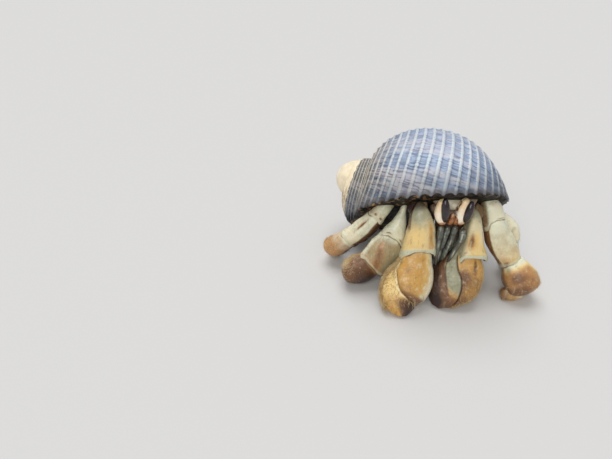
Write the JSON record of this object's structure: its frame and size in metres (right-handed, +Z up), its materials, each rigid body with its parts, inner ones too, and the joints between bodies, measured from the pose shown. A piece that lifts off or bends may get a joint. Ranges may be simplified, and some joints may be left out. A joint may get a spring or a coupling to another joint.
{
  "type": "hermit crab in a snail shell",
  "caption": "Life-size land hermit crab standing in a ribbed nerite snail shell, claws folded in front, eyes raised.",
  "frame": {"origin": "middle of the bounding box's base, on the surface the crab stands on", "axes": "+Z up, the crab faces -Y, and +X is the crab's own left"},
  "size_m": [0.0392, 0.036, 0.0261],
  "materials": {
    "shell": "worn satin shell with pale spiral cords on dark slate bands",
    "claw": "smooth semi-gloss cuticle, amber to cream",
    "leg": "smooth semi-gloss cuticle, cream with brown patches",
    "eyestalk": "smooth pale cuticle",
    "cornea": "wet black",
    "mouthparts": "dark olive cuticle",
    "shield": "greenish grey cuticle",
    "flesh": "soft moist skin"
  },
  "bodies": {
    "root": {"shell": "shell", "cheliped_right_basal": "claw", "cheliped_right_merus": "claw", "cheliped_right_carpus": "claw", "cheliped_right_palm": "claw", "cheliped_right_dactyl": "claw", "cheliped_left_basal": "claw", "cheliped_left_merus": "claw", "cheliped_left_carpus": "claw", "cheliped_left_palm": "claw", "cheliped_left_dactyl": "claw", "leg2_right_basal": "leg", "leg2_right_merus": "leg", "leg2_right_carpus": "leg", "leg2_right_propodus": "leg", "leg2_right_dactyl": "leg", "leg2_left_basal": "leg", "leg2_left_merus": "leg", "leg2_left_carpus": "leg", "leg2_left_propodus": "leg", "leg2_left_dactyl": "leg", "leg3_right_basal": "leg", "leg3_right_merus": "leg", "leg3_right_carpus": "leg", "leg3_right_propodus": "leg", "leg3_right_dactyl": "leg", "leg3_left_basal": "leg", "leg3_left_merus": "leg", "leg3_left_carpus": "leg", "leg3_left_propodus": "leg", "leg3_left_dactyl": "leg", "leg4_right": "flesh", "leg4_left": "flesh", "leg5_right": "flesh", "leg5_left": "flesh", "cornea_right": "cornea", "eyestalk_right": "eyestalk", "antennule_peduncle_right": "mouthparts", "antennule_flagellum_right": "mouthparts", "antenna_peduncle_right": "mouthparts", "antenna_flagellum_right": "mouthparts", "maxilliped_right": "mouthparts", "cornea_left": "cornea", "eyestalk_left": "eyestalk", "antennule_peduncle_left": "mouthparts", "antennule_flagellum_left": "mouthparts", "antenna_peduncle_left": "mouthparts", "antenna_flagellum_left": "mouthparts", "maxilliped_left": "mouthparts", "shield": "shield", "thorax": "flesh", "abdomen": "flesh"}
  },
  "joints": []
}
